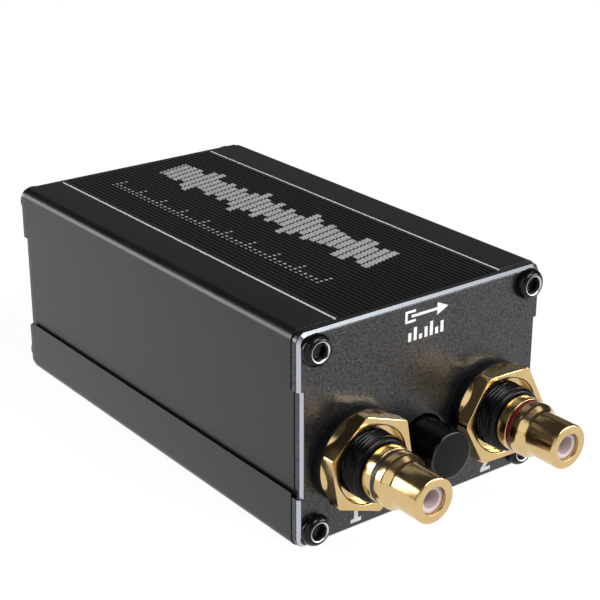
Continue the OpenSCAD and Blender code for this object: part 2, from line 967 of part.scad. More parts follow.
socket_at(1, -1) socket_washer();  // rear_left_washer
socket_at(1, -1) socket_nut(left_nut_turn);  // rear_left_nut
socket_at(1, 1) socket_shell();  // rear_right_shell
socket_at(1, 1) socket_ring("#7a1016");  // rear_right_ring
socket_at(1, 1) socket_insulator();  // rear_right_insulator
socket_at(1, 1) socket_contact();  // rear_right_contact
socket_at(1, 1) socket_sleeve();  // rear_right_sleeve
socket_at(1, 1) socket_washer();  // rear_right_washer
socket_at(1, 1) socket_nut(right_nut_turn);  // rear_right_nut
inner_nuts(-1);  // front_inner_nuts
inner_nuts(1);  // rear_inner_nuts
ground_lugs(-1);  // front_ground_lugs
ground_lugs(1);  // rear_ground_lugs
signal_wires();
ground_wires();
circuit_board();
trafo_core(-1);  // left_core
trafo_bobbin(-1);  // left_bobbin
trafo_winding(-1);  // left_winding
trafo_pins(-1);  // left_pins
trafo_core(1);  // right_core
trafo_bobbin(1);  // right_bobbin
trafo_winding(1);  // right_winding
trafo_pins(1);  // right_pins
switch_housing();
switch_plunger();
switch_spring();
switch_pins();
button_cap();
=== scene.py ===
# Looks of the ground loop isolator: dressed pieces, materials, lights, floor and camera.
# Lengths in the constants are millimetres, and MM turns them into metres.
import math

import bmesh
import bpy
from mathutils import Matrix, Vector


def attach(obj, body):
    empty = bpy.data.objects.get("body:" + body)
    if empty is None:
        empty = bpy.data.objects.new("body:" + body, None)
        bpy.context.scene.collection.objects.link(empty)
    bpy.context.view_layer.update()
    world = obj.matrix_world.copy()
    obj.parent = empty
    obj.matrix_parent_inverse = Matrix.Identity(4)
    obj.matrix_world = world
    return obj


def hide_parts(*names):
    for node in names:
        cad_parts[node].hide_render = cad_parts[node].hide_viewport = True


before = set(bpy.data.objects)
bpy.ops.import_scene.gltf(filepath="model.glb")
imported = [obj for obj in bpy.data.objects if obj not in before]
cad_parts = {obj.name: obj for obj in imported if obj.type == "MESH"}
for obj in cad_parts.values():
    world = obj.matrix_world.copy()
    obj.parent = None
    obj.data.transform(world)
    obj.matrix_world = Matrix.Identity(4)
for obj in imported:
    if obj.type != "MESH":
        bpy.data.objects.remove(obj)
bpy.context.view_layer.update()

MM = 0.001

# Driving sizes, the same as in the model
FACE_Y = 46.65
CASE_H = 39.5
SOCKET_XS = {-1: 15.1, 1: 12.0}
SOCKET_Z = 14.7
BUTTON_Z = 12.65
BUTTON_OUT = 7.55
BUTTON_IN = 3.2
BUTTON_R = 4.4
PLUNGER_W = 3.4
SCREW_X = 23.65
SCREW_ZS = (3.35, 36.15)
PANEL_T = 1.8
SLEEVE_R = 5.9
SLEEVE_OUT = 7.5
STEM_R = 3.6
MOUTH_R = 2.43
PIN_R = 1.6
CONTACT_IN = 4.0
WASHER_R = 8.8
WASHER_T = 1.7
NUT_AF = 16.35
NUT_T = 3.3
NUT_RIM_R = 8.67
NUT_CONE_L = 1.1
NUT_CORNER_L = 1.0
NUT_TURNS = {"left": -20.0, "right": -2.5}
ENDS = {"front": -1, "rear": 1}
SIDES = {"left": -1, "right": 1}


# Materials

class Shader:
    """A Principled material with short calls for the nodes that feed it."""

    def __init__(self, name, color, rough, metal=0.0, specular=0.5, coat=0.0, coat_rough=0.1):
        self.mat = bpy.data.materials.new(name)
        self.mat.use_nodes = True
        self.tree = self.mat.node_tree
        self.main = self.tree.nodes["Principled BSDF"]
        self.set("Base Color", (*color, 1.0))
        self.set("Roughness", rough)
        self.set("Metallic", metal)
        self.set("Specular IOR Level", specular)
        self.set("Coat Weight", coat)
        self.set("Coat Roughness", coat_rough)

    def set(self, socket, value):
        self.main.inputs[socket].default_value = value

    def feed(self, socket, source):
        self.tree.links.new(source, self.main.inputs[socket])

    def node(self, kind, **values):
        made = self.tree.nodes.new(kind)
        for key, value in values.items():
            setattr(made, key, value)
        return made

    def put(self, target, value):
        if isinstance(value, bpy.types.NodeSocket):
            self.tree.links.new(value, target)
        else:
            target.default_value = value

    def math(self, operation, a, b=0.0, c=0.0):
        made = self.node("ShaderNodeMath", operation=operation)
        for target, value in zip(made.inputs, (a, b, c)):
            self.put(target, value)
        return made.outputs[0]

    def place(self, scale=(1.0, 1.0, 1.0)):
        """Object coordinates, scaled."""
        coords = self.node("ShaderNodeTexCoord")
        mapping = self.node("ShaderNodeMapping")
        mapping.inputs["Scale"].default_value = scale
        self.tree.links.new(coords.outputs["Object"], mapping.inputs["Vector"])
        return mapping.outputs["Vector"]

    def noise(self, size, detail=2.0, stretch=(1.0, 1.0, 1.0), roughness=0.5):
        """Noise whose features are about size millimetres across."""
        made = self.node("ShaderNodeTexNoise")
        self.tree.links.new(self.place(stretch), made.inputs["Vector"])
        made.inputs["Scale"].default_value = 1.0 / (size * MM)
        made.inputs["Detail"].default_value = detail
        made.inputs["Roughness"].default_value = roughness
        return made.outputs["Fac"]

    def remap(self, value, low, high, to_low, to_high):
        made = self.node("ShaderNodeMapRange")
        made.inputs["From Min"].default_value = low
        made.inputs["From Max"].default_value = high
        made.inputs["To Min"].default_value = to_low
        made.inputs["To Max"].default_value = to_high
        self.tree.links.new(value, made.inputs["Value"])
        return made.outputs["Result"]

    def mix(self, factor, a, b):
        made = self.node("ShaderNodeMix", data_type="RGBA")
        self.put(made.inputs["Factor"], factor)
        for target, value in ((made.inputs["A"], a), (made.inputs["B"], b)):
            self.put(target, value if isinstance(value, bpy.types.NodeSocket) else (*value, 1.0))
        return made.outputs["Result"]

    def bump(self, height, depth, strength=1.0):
        """Bump whose full height is depth millimetres."""
        made = self.node("ShaderNodeBump")
        made.inputs["Strength"].default_value = strength
        made.inputs["Distance"].default_value = depth * MM
        self.tree.links.new(height, made.inputs["Height"])
        self.feed("Normal", made.outputs["Normal"])


def millimetres(shader):
    """The three object coordinates in millimetres."""
    split = shader.node("ShaderNodeSeparateXYZ")
    shader.tree.links.new(shader.place((1.0 / MM, 1.0 / MM, 1.0 / MM)), split.inputs["Vector"])
    return split.outputs


def between(shader, value, low, high):
    above = shader.math("GREATER_THAN", value, low)
    below = shader.math("LESS_THAN", value, high)
    return shader.math("MULTIPLY", above, below)


ANODISED = (0.003, 0.003, 0.003)
ANODISED_LIGHT = (0.011, 0.011, 0.011)
PRINT_GREY = (0.50, 0.51, 0.52)
# Print colour in the rib valleys, lighter than on the ribs: painted fill light against the shade there
VALLEY_INK_WITH_PAINTED_FILL = (0.56, 0.57, 0.58)


def anodised_finish(shader, dark, light):
    """Black anodised extrusion: die lines along the length, a fine grain and slight blotches."""
    lines = shader.noise(0.25, 3.0, (1.0, 0.012, 1.0))
    blotches = shader.noise(9.0, 3.0)
    grain = shader.noise(0.25, 1.0)
    tone = shader.math("MULTIPLY_ADD", lines, 0.25, shader.math("MULTIPLY", blotches, 0.35))
    tone = shader.math("MULTIPLY_ADD", grain, 0.4, tone)
    shader.feed("Roughness", shader.remap(tone, 0.3, 0.7, 0.28, 0.36))
    height = shader.math("MULTIPLY_ADD", lines, 0.5, shader.math("MULTIPLY", grain, 0.5))
    shader.bump(height, 0.008, 0.6)
    return shader.mix(shader.remap(tone, 0.35, 0.65, 0.0, 1.0), dark, light)


def make_case():
    shader = Shader("anodised_case", ANODISED, 0.45, specular=0.43)
    shader.feed("Base Color", anodised_finish(shader, ANODISED, ANODISED_LIGHT))
    return shader.mat


# The roof's print: a row of level bars and a ruled scale
BARS_Y = (-30.5, 38.0)
BAR_PITCH = 2.0
BAR_FILL = 0.8
BARS_X = 4.9
BAR_HALF = (2.0, 6.3)
SCALE_Y = (-31.0, 37.6)
SCALE_X = -11.0
TICK_PITCH = 1.5
TICK_FILL = 0.36
TICKS = (1.8, 3.9)


def bar_print(shader, x, y):
    """1 inside the level bars. Each bar leans, and its half height follows two sines."""
    leaning = shader.math("MULTIPLY_ADD", x, -0.22, y)
    along = shader.math("DIVIDE", shader.math("SUBTRACT", leaning, BARS_Y[0]), BAR_PITCH)
    index = shader.math("FLOOR", along)
    inside = shader.math("LESS_THAN", shader.math("FRACT", along), BAR_FILL)
    slow = shader.math("SINE", shader.math("MULTIPLY_ADD", index, 0.37, 0.5))
    quick = shader.math("SINE", shader.math("MULTIPLY_ADD", index, 1.9, 1.1))
    wave = shader.math("ABSOLUTE", shader.math("MULTIPLY_ADD", quick, 0.35, shader.math("MULTIPLY", slow, 0.65)))
    half = shader.math("MULTIPLY_ADD", wave, BAR_HALF[1] - BAR_HALF[0], BAR_HALF[0])
    offset = shader.math("ABSOLUTE", shader.math("SUBTRACT", x, BARS_X))
    tall = shader.math("LESS_THAN", offset, half)
    mask = shader.math("MULTIPLY", inside, tall)
    return shader.math("MULTIPLY", mask, between(shader, leaning, *BARS_Y))


def scale_print(shader, x, y):
    """1 inside the ticks of the scale. Every fifth tick is long."""
    along = shader.math("DIVIDE", shader.math("SUBTRACT", y, SCALE_Y[0]), TICK_PITCH)
    inside = shader.math("LESS_THAN", shader.math("FRACT", along), TICK_FILL)
    fifth = shader.math("LESS_THAN", shader.math("MODULO", shader.math("FLOOR", along), 5.0), 0.5)
    reach = shader.math("MULTIPLY_ADD", fifth, TICKS[1] - TICKS[0], SCALE_X + TICKS[0])
    tall = shader.math("MULTIPLY", shader.math("GREATER_THAN", x, SCALE_X), shader.math("LESS_THAN", x, reach))
    mask = shader.math("MULTIPLY", inside, tall)
    return shader.math("MULTIPLY", mask, between(shader, y, *SCALE_Y))


def make_roof():
    shader = Shader("anodised_roof", ANODISED, 0.45, specular=0.43)
    metal = anodised_finish(shader, ANODISED, ANODISED_LIGHT)
    x, y, z = millimetres(shader)
    side_x = shader.math("ABSOLUTE", x)
    on_top = shader.math("GREATER_THAN", z, CASE_H - 0.6)
    ribbed = shader.math("LESS_THAN", side_x, GROOVE_X - GROOVE_HALF)
    valley = shader.math("MULTIPLY", between(shader, z, CASE_H - 0.4, CASE_H - 0.03), ribbed)
    # The bars fill the valleys, the fine ticks only touch the ribs
    ticks = shader.math("MULTIPLY", scale_print(shader, x, y), shader.math("SUBTRACT", 1.0, valley))
    ink = shader.math("MAXIMUM", bar_print(shader, x, y), ticks)
    wear = shader.remap(shader.noise(0.5, 3.0), 0.25, 0.6, 0.82, 1.0)
    mask = shader.math("MULTIPLY", shader.math("MULTIPLY", ink, on_top), wear)
    # The two deep grooves are coloured pale grey
    groove = between(shader, side_x, GROOVE_X - GROOVE_HALF, GROOVE_X + GROOVE_HALF)
    groove = shader.math("MULTIPLY", groove, on_top)
    # A faint painted highlight runs along each side, on the edge of the step above the recessed band
    line = between(shader, z, LINE_Z - 0.11, LINE_Z + 0.11)
    line = shader.math("MULTIPLY", line, shader.remap(shader.noise(1.6, 2.0, (0.2, 1.0, 1.0)), 0.4, 0.6, 0.1, 0.9))
    metal = shader.mix(line, metal, (0.045, 0.045, 0.045))
    # Painted shade: the metal in the rib valleys is darkened
    metal = shader.mix(valley, metal, (0.001, 0.001, 0.001))
    # Painted fill light: the print is lighter in the valleys, to cancel their shade
    color = shader.mix(mask, metal, shader.mix(valley, PRINT_GREY, VALLEY_INK_WITH_PAINTED_FILL))
    smooth = shader.main.inputs["Roughness"].links[0].from_socket
    shader.feed("Roughness", shader.math("MULTIPLY_ADD", valley, 0.4, smooth))
    # Painted shade: the rib valleys reflect less, through a darker specular tint
    shader.feed("Specular Tint", shader.mix(valley, (1.0, 1.0, 1.0), (0.38, 0.38, 0.38)))
    shader.feed("Base Color", shader.mix(groove, color, (0.85, 0.85, 0.86)))
    return shader.mat


GROOVE_X = 18.15
GROOVE_HALF = 0.24
LINE_Z = 29.2


def make_panel():
    """Blasted and anodised plate whose bevels are bare metal."""
    shader = Shader("blasted_panel", (0.05, 0.05, 0.055), 0.5, specular=1.0)
    grain = shader.noise(0.24, 2.0, roughness=0.7)
    speck = shader.noise(0.42, 1.0)
    blotch = shader.noise(7.0, 2.0)
    tone = shader.math("MULTIPLY_ADD", grain, 0.6, shader.math("MULTIPLY", speck, 0.4))
    dark = shader.mix(shader.remap(tone, 0.40, 0.66, 0.0, 1.0), (0.002, 0.002, 0.003), (0.016, 0.016, 0.019))
    geometry = shader.node("ShaderNodeNewGeometry")
    split = shader.node("ShaderNodeSeparateXYZ")
    shader.tree.links.new(geometry.outputs["True Normal"], split.inputs["Vector"])
    bare = between(shader, shader.math("ABSOLUTE", split.outputs["Y"]), 0.62, 0.80)
    shader.feed("Base Color", shader.mix(bare, dark, (0.48, 0.51, 0.56)))
    shader.feed("Metallic", bare)
    matt = shader.remap(blotch, 0.3, 0.7, 0.24, 0.29)
    shader.feed("Roughness", matt)
    glint = shader.remap(tone, 0.36, 0.62, 0.0, 1.0)
    shader.feed("Specular Tint", shader.mix(shader.math("MAXIMUM", glint, bare), (0.20, 0.20, 0.21), (1.0, 1.0, 1.0)))
    flat = shader.math("MULTIPLY", tone, shader.math("SUBTRACT", 1.0, bare))
    shader.bump(flat, 0.05, 0.6)
    return shader.mat


def make_gold(name, color, rough):
    """Polished plating over turned brass: faint turning marks and slight tarnish."""
    shader = Shader(name, color, rough, metal=1.0)
    smear = shader.noise(2.4, 3.0)
    fine = shader.noise(0.2, 2.0, (1.0, 3.0, 1.0))
    shader.feed("Roughness", shader.remap(smear, 0.3, 0.7, rough * 0.8, rough * 1.3))
    deep = tuple(c * k for c, k in zip(color, (0.93, 0.86, 0.74)))
    shader.feed("Base Color", shader.mix(shader.remap(smear, 0.35, 0.75, 0.0, 0.6), color, deep))
    shader.bump(fine, 0.003, 0.5)
    return shader.mat


def make_plastic(name, dark, light, rough, size=0.3, depth=0.01, **more):
    """Moulded plastic, painted or lacquered surface with a fine grain and slight unevenness."""
    shader = Shader(name, dark, rough, **more)
    grain = shader.noise(size, 2.0)
    cloud = shader.noise(size * 12, 2.0)
    shader.feed("Base Color", shader.mix(shader.remap(cloud, 0.3, 0.7, 0.0, 1.0), dark, light))
    shader.feed("Roughness", shader.remap(grain, 0.3, 0.7, rough * 0.88, rough * 1.12))
    shader.bump(grain, depth, 0.4)
    return shader


def make_winding():
    """Copper wire wound in level turns."""
    shader = Shader("copper_winding", (0.55, 0.22, 0.07), 0.3, metal=0.8)
    z = millimetres(shader)[2]
    turns = shader.math("ABSOLUTE", shader.math("SINE", shader.math("MULTIPLY", z, math.pi / 0.25)))
    # Painted shade: the copper is darker in the crevices between the turns
    shader.feed("Base Color", shader.mix(turns, (0.22, 0.07, 0.02), (0.62, 0.27, 0.09)))
    shader.bump(turns, 0.1, 0.8)
    return shader.mat


def make_core():
    """Stacked laminations with thin gaps between the sheets."""
    shader = Shader("laminated_core", (0.2, 0.2, 0.21), 0.4, metal=0.9)
    y = millimetres(shader)[1]
    sheets = shader.math("ABSOLUTE", shader.math("SINE", shader.math("MULTIPLY", y, math.pi / 0.5)))
    edge = shader.remap(sheets, 0.0, 0.35, 0.0, 1.0)
    shader.feed("Base Color", shader.mix(edge, (0.05, 0.05, 0.05), (0.3, 0.3, 0.32)))
    shader.bump(edge, 0.05, 0.7)
    return shader.mat


def make_board():
    """Solder mask with a pattern of wide copper fields under it."""
    shader = Shader("solder_mask", (0.02, 0.12, 0.05), 0.3)
    x, y, _ = millimetres(shader)
    fields = shader.math("MULTIPLY", shader.math("SINE", shader.math("MULTIPLY", x, 0.6)),
                         shader.math("SINE", shader.math("MULTIPLY", y, 0.45)))
    shader.feed("Base Color", shader.mix(shader.remap(fields, -0.05, 0.05, 0.0, 1.0),
                                         (0.012, 0.075, 0.03), (0.02, 0.13, 0.055)))
    shader.bump(shader.noise(0.6, 2.0), 0.02, 0.3)
    return shader.mat


GOLD = (0.66, 0.48, 0.235)
# The insulator is white; its pink tint is a painted reflection of light from the gold contact
insulator_shader = make_plastic("insulator_white", (0.60, 0.49, 0.50), (0.66, 0.55, 0.56), 0.35, 0.4)
insulator_shader.set("Subsurface Weight", 0.7)
insulator_shader.set("Subsurface Radius", (1.3, 0.8, 0.75))
insulator_shader.set("Subsurface Scale", 0.0012)
MATERIALS = {
    "case": make_case(),
    "roof": make_roof(),
    "panel": make_panel(),
    "gold": make_gold("gold_plate", GOLD, 0.17),
    "contact": make_gold("contact_plate", (0.62, 0.43, 0.21), 0.25),
    "screw": make_plastic("black_oxide", (0.003, 0.003, 0.003), (0.006, 0.006, 0.006), 0.16, 0.2, 0.004,
                          specular=0.22).mat,
    "worn_edge": make_plastic("worn_edge", (0.60, 0.60, 0.61), (0.72, 0.72, 0.73), 0.3, 0.2, 0.004,
                              metal=1.0).mat,
    "sleeve": make_plastic("black_nylon", (0.002, 0.002, 0.003), (0.004, 0.003, 0.005), 0.26, 0.25, 0.006,
                           specular=0.15).mat,
    "washer": make_plastic("washer_black", (0.003, 0.003, 0.003), (0.005, 0.005, 0.005), 0.5, 0.25, 0.01,
                           specular=0.2).mat,
    "button": make_plastic("button_black", (0.001, 0.001, 0.001), (0.003, 0.003, 0.003), 0.26, 0.18, 0.008,
                           specular=0.15).mat,
    "button_rim": make_plastic("button_rim", (0.003, 0.003, 0.003), (0.005, 0.005, 0.005), 0.12, 0.2, 0.003,
                               specular=0.5).mat,
    "ring_black": make_plastic("ring_black", (0.008, 0.008, 0.008), (0.014, 0.014, 0.014), 0.35).mat,
    "ring_red": make_plastic("ring_red", (0.12, 0.003, 0.006), (0.17, 0.005, 0.008), 0.3).mat,
    "insulator": insulator_shader.mat,
    "ink": make_plastic("white_ink", (0.82, 0.82, 0.82), (0.87, 0.87, 0.87), 0.5, 0.2, 0.01).mat,
    "tinned": make_plastic("tinned_wire", (0.55, 0.56, 0.58), (0.66, 0.67, 0.69), 0.3, 0.4, 0.02, metal=1.0).mat,
    "spring": make_plastic("spring_wire", (0.40, 0.41, 0.43), (0.50, 0.51, 0.53), 0.3, 0.2, metal=1.0).mat,
    "bobbin": make_plastic("bobbin_plastic", (0.66, 0.61, 0.48), (0.72, 0.68, 0.55), 0.45).mat,
    "switch": make_plastic("switch_plastic", (0.70, 0.68, 0.62), (0.77, 0.75, 0.70), 0.4).mat,
    "winding": make_winding(),
    "core": make_core(),
    "board": make_board(),
}


# Mesh helpers

def add_piece(name, mesh, material, body, nodes=()):
    """Links a mesh as a piece that rides on a body and stands for the named nodes."""
    piece = bpy.data.objects.new(name, mesh)
    bpy.context.scene.collection.objects.link(piece)
    mesh.materials.append(MATERIALS[material])
    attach(piece, body)
    if nodes:
        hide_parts(*nodes)
    return piece


def smooth_by_angle(mesh, degrees=32.0):
    """Smooth shading, with edges sharper than the angle left sharp."""
    work = bmesh.new()
    work.from_mesh(mesh)
    limit = math.radians(degrees)
    for edge in work.edges:
        edge.smooth = len(edge.link_faces) == 2 and edge.calc_face_angle(0.0) < limit
    for face in work.faces:
        face.smooth = True
    work.to_mesh(mesh)
    work.free()


def soften(piece, width, segments=2, degrees=32.0):
    """Rounds the sharp edges of a piece by a bevel of that width in millimetres."""
    bevel = piece.modifiers.new("edges", "BEVEL")
    bevel.width = width * MM
    bevel.segments = segments
    bevel.limit_method = "ANGLE"
    bevel.angle_limit = math.radians(degrees)
    bevel.use_clamp_overlap = True
    bevel.harden_normals = True
    smooth_by_angle(piece.data, degrees)


def dressed(node, material, width, body="case", segments=2):
    """A copy of a node's solid with clean flat faces and softened edges."""
    work = bmesh.new()
    work.from_mesh(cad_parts[node].data)
    bmesh.ops.remove_doubles(work, verts=work.verts, dist=0.002 * MM)
    bmesh.ops.dissolve_limit(work, angle_limit=math.radians(0.3), verts=work.verts, edges=work.edges)
    mesh = bpy.data.meshes.new(node + "_dressed")
    work.to_mesh(mesh)
    work.free()
    if "custom_normal" in mesh.attributes:
        mesh.attributes.remove(mesh.attributes["custom_normal"])
    piece = add_piece(node + "_dressed", mesh, material, body, (node,))
    soften(piece, width, segments)
    return piece


def on_panel(end, x, z, point):
    """A point given in a panel's own frame, with its third value leaving the panel."""
    a, b, s = point
    if end < 0:
        return Vector((x + a, -FACE_Y - s, z + b)) * MM
    return Vector((x + a, FACE_Y + s, z - b)) * MM


def radius_at(radius, angle):
    return radius(angle) if callable(radius) else radius


def turned_mesh(name, profile, place, steps=96, closed=False, start=0.0, second=()):
    """Revolves a profile of (radius, distance) pairs from a start angle on.

    A radius may be a function of the angle past the start. The steps of the profile listed in
    second get the piece's second material."""
    work = bmesh.new()
    angles = [2 * math.pi * k / steps for k in range(steps)]
    rings = []
    for radius, s in profile:
        if radius == 0:
            rings.append([work.verts.new(place((0.0, 0.0, s)))])
            continue
        ring = []
        for angle in angles:
            r = radius_at(radius, angle)
            ring.append(work.verts.new(place((r * math.cos(start + angle), r * math.sin(start + angle), s))))
        rings.append(ring)
    pairs = list(zip(rings, rings[1:]))
    if closed:
        pairs.append((rings[-1], rings[0]))
    for step, (low, high) in enumerate(pairs):
        for k in range(steps):
            n = (k + 1) % steps
            if len(low) == 1 and len(high) == 1:
                continue
            if len(low) == 1:
                face = work.faces.new((low[0], high[n], high[k]))
            elif len(high) == 1:
                face = work.faces.new((low[k], low[n], high[0]))
            else:
                face = work.faces.new((low[k], low[n], high[n], high[k]))
            face.material_index = int(step in second)
    bmesh.ops.recalc_face_normals(work, faces=work.faces)
    mesh = bpy.data.meshes.new(name)
    work.to_mesh(mesh)
    work.free()
    return mesh


def rounded(corners, segments=4):
    """Profile points from (radius, distance, fillet) corners, with an arc at each fillet."""
    points = []
    count = len(corners)
    for i, (r, s, fillet) in enumerate(corners):
        here = Vector((r, s))
        if fillet <= 0:
            points.append((r, s))
            continue
        before = Vector(corners[i - 1][:2]) - here
        after = Vector(corners[(i + 1) % count][:2]) - here
        start = here + before.normalized() * fillet
        end = here + after.normalized() * fillet
        for k in range(segments + 1):
            t = k / segments
            bend = start * (1 - t) ** 2 + here * 2 * t * (1 - t) + end * t ** 2
            points.append((bend.x, bend.y))
    return points


def hexagon(across, turn=0.0, corner_cut=0.1):
    """Radius of a hexagon with slightly cut corners, as a function of the angle."""
    def radius(angle):
        phase = (angle - math.radians(turn)) % (math.pi / 3)
        full = across / 2 / math.cos(phase - math.pi / 6)
        return min(full, across / math.sqrt(3) - corner_cut)
    return radius


# Sockets

def socket_shell(name, place):
    corners = [
        (MOUTH_R, -6.7, 0), (STEM_R, -6.7, 0), (STEM_R, SLEEVE_OUT, 0), (4.7, SLEEVE_OUT, 0.05),
        (5.0, 7.85, 0.15), (5.0, 9.9, 0.14), (4.35, 9.9, 0), (4.35, 10.8, 0),
        (4.95, 10.8, 0.12), (4.95, 12.4, 0.3), (4.12, 13.5, 0.3), (4.05, 13.9, 0.1),
        (4.05, 20.0, 0.42), (MOUTH_R, 20.0, 0.1), (MOUTH_R, 17.0, 0),
    ]
    mesh = turned_mesh(name, rounded(corners), place, closed=True)
    smooth_by_angle(mesh)
    return mesh


def socket_sleeve(name, place):
    """Threaded bush: a helix cut into the part that shows, a round shoulder and a hidden flange."""
    pitch, depth = 0.75, 0.32
    bottom, top = 0.4, SLEEVE_OUT - 0.75

    def thread(s):
        fade = min(1.0, (s - bottom) / 0.4, (top - s) / 0.5)

        def radius(angle):
            wave = abs(((s / pitch - angle / (2 * math.pi)) % 1.0) * 2 - 1)
            return SLEEVE_R - depth * fade * min(1.0, max(0.0, wave * 1.5 - 0.2))
        return radius

    rows = 66
    threaded = []
    for k in range(rows + 1):
        s = bottom + (top - bottom) * k / rows
        threaded.append((thread(s), s))
    profile = [(STEM_R + 0.05, -3.8), (8.0, -3.8), (8.0, -PANEL_T), (SLEEVE_R, -PANEL_T), (SLEEVE_R, 0.2)]
    profile += threaded
    profile += rounded([
        (SLEEVE_R, top, 0), (SLEEVE_R, SLEEVE_OUT - 0.4, 0.25), (SLEEVE_R - 0.55, SLEEVE_OUT, 0.2),
        (STEM_R + 0.05, SLEEVE_OUT, 0),
    ])
    mesh = turned_mesh(name, profile, place, steps=120, closed=True)
    smooth_by_angle(mesh, 40.0)
    return mesh


def socket_nut(name, place, turn):
    """Hexagon nut: a round rim that tapers into the flats, corners rising from it, and a recess."""
    back, front = WASHER_T, WASHER_T + NUT_T
    corner_r = NUT_AF / math.sqrt(3) - 0.12
    flats = hexagon(NUT_AF, 0.0, 0.12)

    def outer(s):
        cone = NUT_RIM_R - (NUT_RIM_R - NUT_AF / 2) * min(1.0, (s - back) / NUT_CONE_L)
        rise = min(1.0, (s - back) / NUT_CORNER_L)
        limit = NUT_RIM_R - 0.12 + (corner_r - NUT_RIM_R + 0.12) * rise
        return lambda angle: max(cone, min(flats(angle), limit))

    def inset(by):
        return lambda angle: flats(angle) - by

    profile = [(SLEEVE_R + 0.05, back), (7.8, back), (NUT_RIM_R - 0.1, back)]
    profile += [(outer(back + 0.05 + 0.075 * k), back + 0.05 + 0.075 * k) for k in range(22)]
    profile += [(flats, front - 0.12), (inset(0.04), front - 0.04), (inset(0.12), front)]
    profile += [(7.25, front), (7.12, front - 0.05), (6.96, front - 0.25)]
    profile += [(6.95, front - 1.4), (6.9, front - 1.5), (SLEEVE_R + 0.05, front - 1.5)]
    mesh = turned_mesh(name, profile, place, steps=240, closed=True, start=math.radians(turn))
    smooth_by_angle(mesh, 24.0)
    return mesh


def socket_washer(name, place):
    corners = [(6.1, 0.0, 0), (WASHER_R, 0.0, 0), (WASHER_R, WASHER_T, 0.18), (6.1, WASHER_T, 0)]
    mesh = turned_mesh(name, rounded(corners), place, closed=True)
    smooth_by_angle(mesh)
    return mesh


def socket_ring(name, place):
    corners = [(4.36, 9.93, 0), (4.92, 9.93, 0.12), (4.92, 10.77, 0.12), (4.36, 10.77, 0)]
    mesh = turned_mesh(name, rounded(corners), place, closed=True)
    smooth_by_angle(mesh)
    return mesh


def socket_insulator(name, place):
    front = 19.3
    corners = [
        (2.0, -6.7, 0), (MOUTH_R - 0.05, -6.7, 0), (MOUTH_R - 0.05, front, 0.1),
        (PIN_R + 0.05, front, 0.22), (PIN_R + 0.05, front - CONTACT_IN, 0), (2.0, front - CONTACT_IN, 0),
    ]
    mesh = turned_mesh(name, rounded(corners), place, closed=True)
    smooth_by_angle(mesh)
    return mesh


def socket_contact(name, place):
    front = 19.3 - CONTACT_IN
    corners = [
        (0, -8.7, 0), (0.6, -8.7, 0.1), (0.6, -6.7, 0), (PIN_R + 0.35, -6.7, 0),
        (PIN_R + 0.35, front, 0.08), (PIN_R, front, 0.12), (PIN_R, 4.6, 0), (0, 3.9, 0),
    ]
    mesh = turned_mesh(name, rounded(corners), place, steps=48)
    smooth_by_angle(mesh)
    return mesh


def make_socket(end_name, side_name):
    end, side = ENDS[end_name], SIDES[side_name]
    prefix = end_name + "_" + side_name + "_"

    def place(point):
        return on_panel(end, side * SOCKET_XS[end], SOCKET_Z, point)

    ring = "ring_black" if side < 0 else "ring_red"
    parts = [
        ("shell", socket_shell(prefix + "barrel", place), "gold", "gold"),
        ("sleeve", socket_sleeve(prefix + "bush", place), "sleeve", "black_plastic"),
        ("nut", socket_nut(prefix + "hexnut", place, NUT_TURNS[side_name]), "gold", "gold"),
        ("washer", socket_washer(prefix + "spacer", place), "washer", "black_plastic"),
        ("ring", socket_ring(prefix + "band", place), ring, ring),
        ("insulator", socket_insulator(prefix + "liner", place), "insulator", "insulator"),
        ("contact", socket_contact(prefix + "tube", place), "contact", "gold"),
    ]
    for node, mesh, material, slot in parts:
        add_piece(mesh.name, mesh, material, "case", (prefix + node,))


# Screws and button

def screw_mesh(name, places):
    """Button-head screws joined into one mesh: rounded head, hexagon socket, plain shank."""
    head_r, head_h, key = 2.85, 1.65, hexagon(2.5, 0.0, 0.02)
    profile = [(0, -8.0), (1.2, -8.0), (1.45, -7.7), (1.45, 0.0), (2.7, 0.0), (head_r - 0.03, 0.05)]
    top_r = 1.84
    for k in range(13):
        t = math.radians(90.0) * k / 12
        profile.append((top_r + (head_r - top_r) * math.cos(t), 0.45 + (head_h - 0.45) * math.sin(t)))
    rim = range(len(profile) - 1, len(profile) + 2)
    profile += [(1.76, head_h - 0.01), (1.66, head_h - 0.06), (1.58, head_h - 0.13)]
    profile += [(lambda a: key(a) + 0.08, head_h - 0.3), (key, head_h - 0.42), (key, head_h - 1.15)]
    profile += [(0, head_h - 1.4)]
    work = bmesh.new()
    for i, place in enumerate(places):
        single = turned_mesh(name + str(i), profile, place, steps=96, second=rim)
        work.from_mesh(single)
        bpy.data.meshes.remove(single)
    mesh = bpy.data.meshes.new(name)
    work.to_mesh(mesh)
    work.free()
    smooth_by_angle(mesh, 28.0)
    return mesh


def make_screws(end_name):
    end = ENDS[end_name]
    places = []
    for x in (-SCREW_X, SCREW_X):
        for z in SCREW_ZS:
            places.append(lambda point, x=x, z=z: on_panel(end, x, z, point))
    mesh = screw_mesh(end_name + "_buttonheads", places)
    add_piece(mesh.name, mesh, "screw", "case", (end_name + "_screws",))
    mesh.materials.append(MATERIALS["worn_edge"])


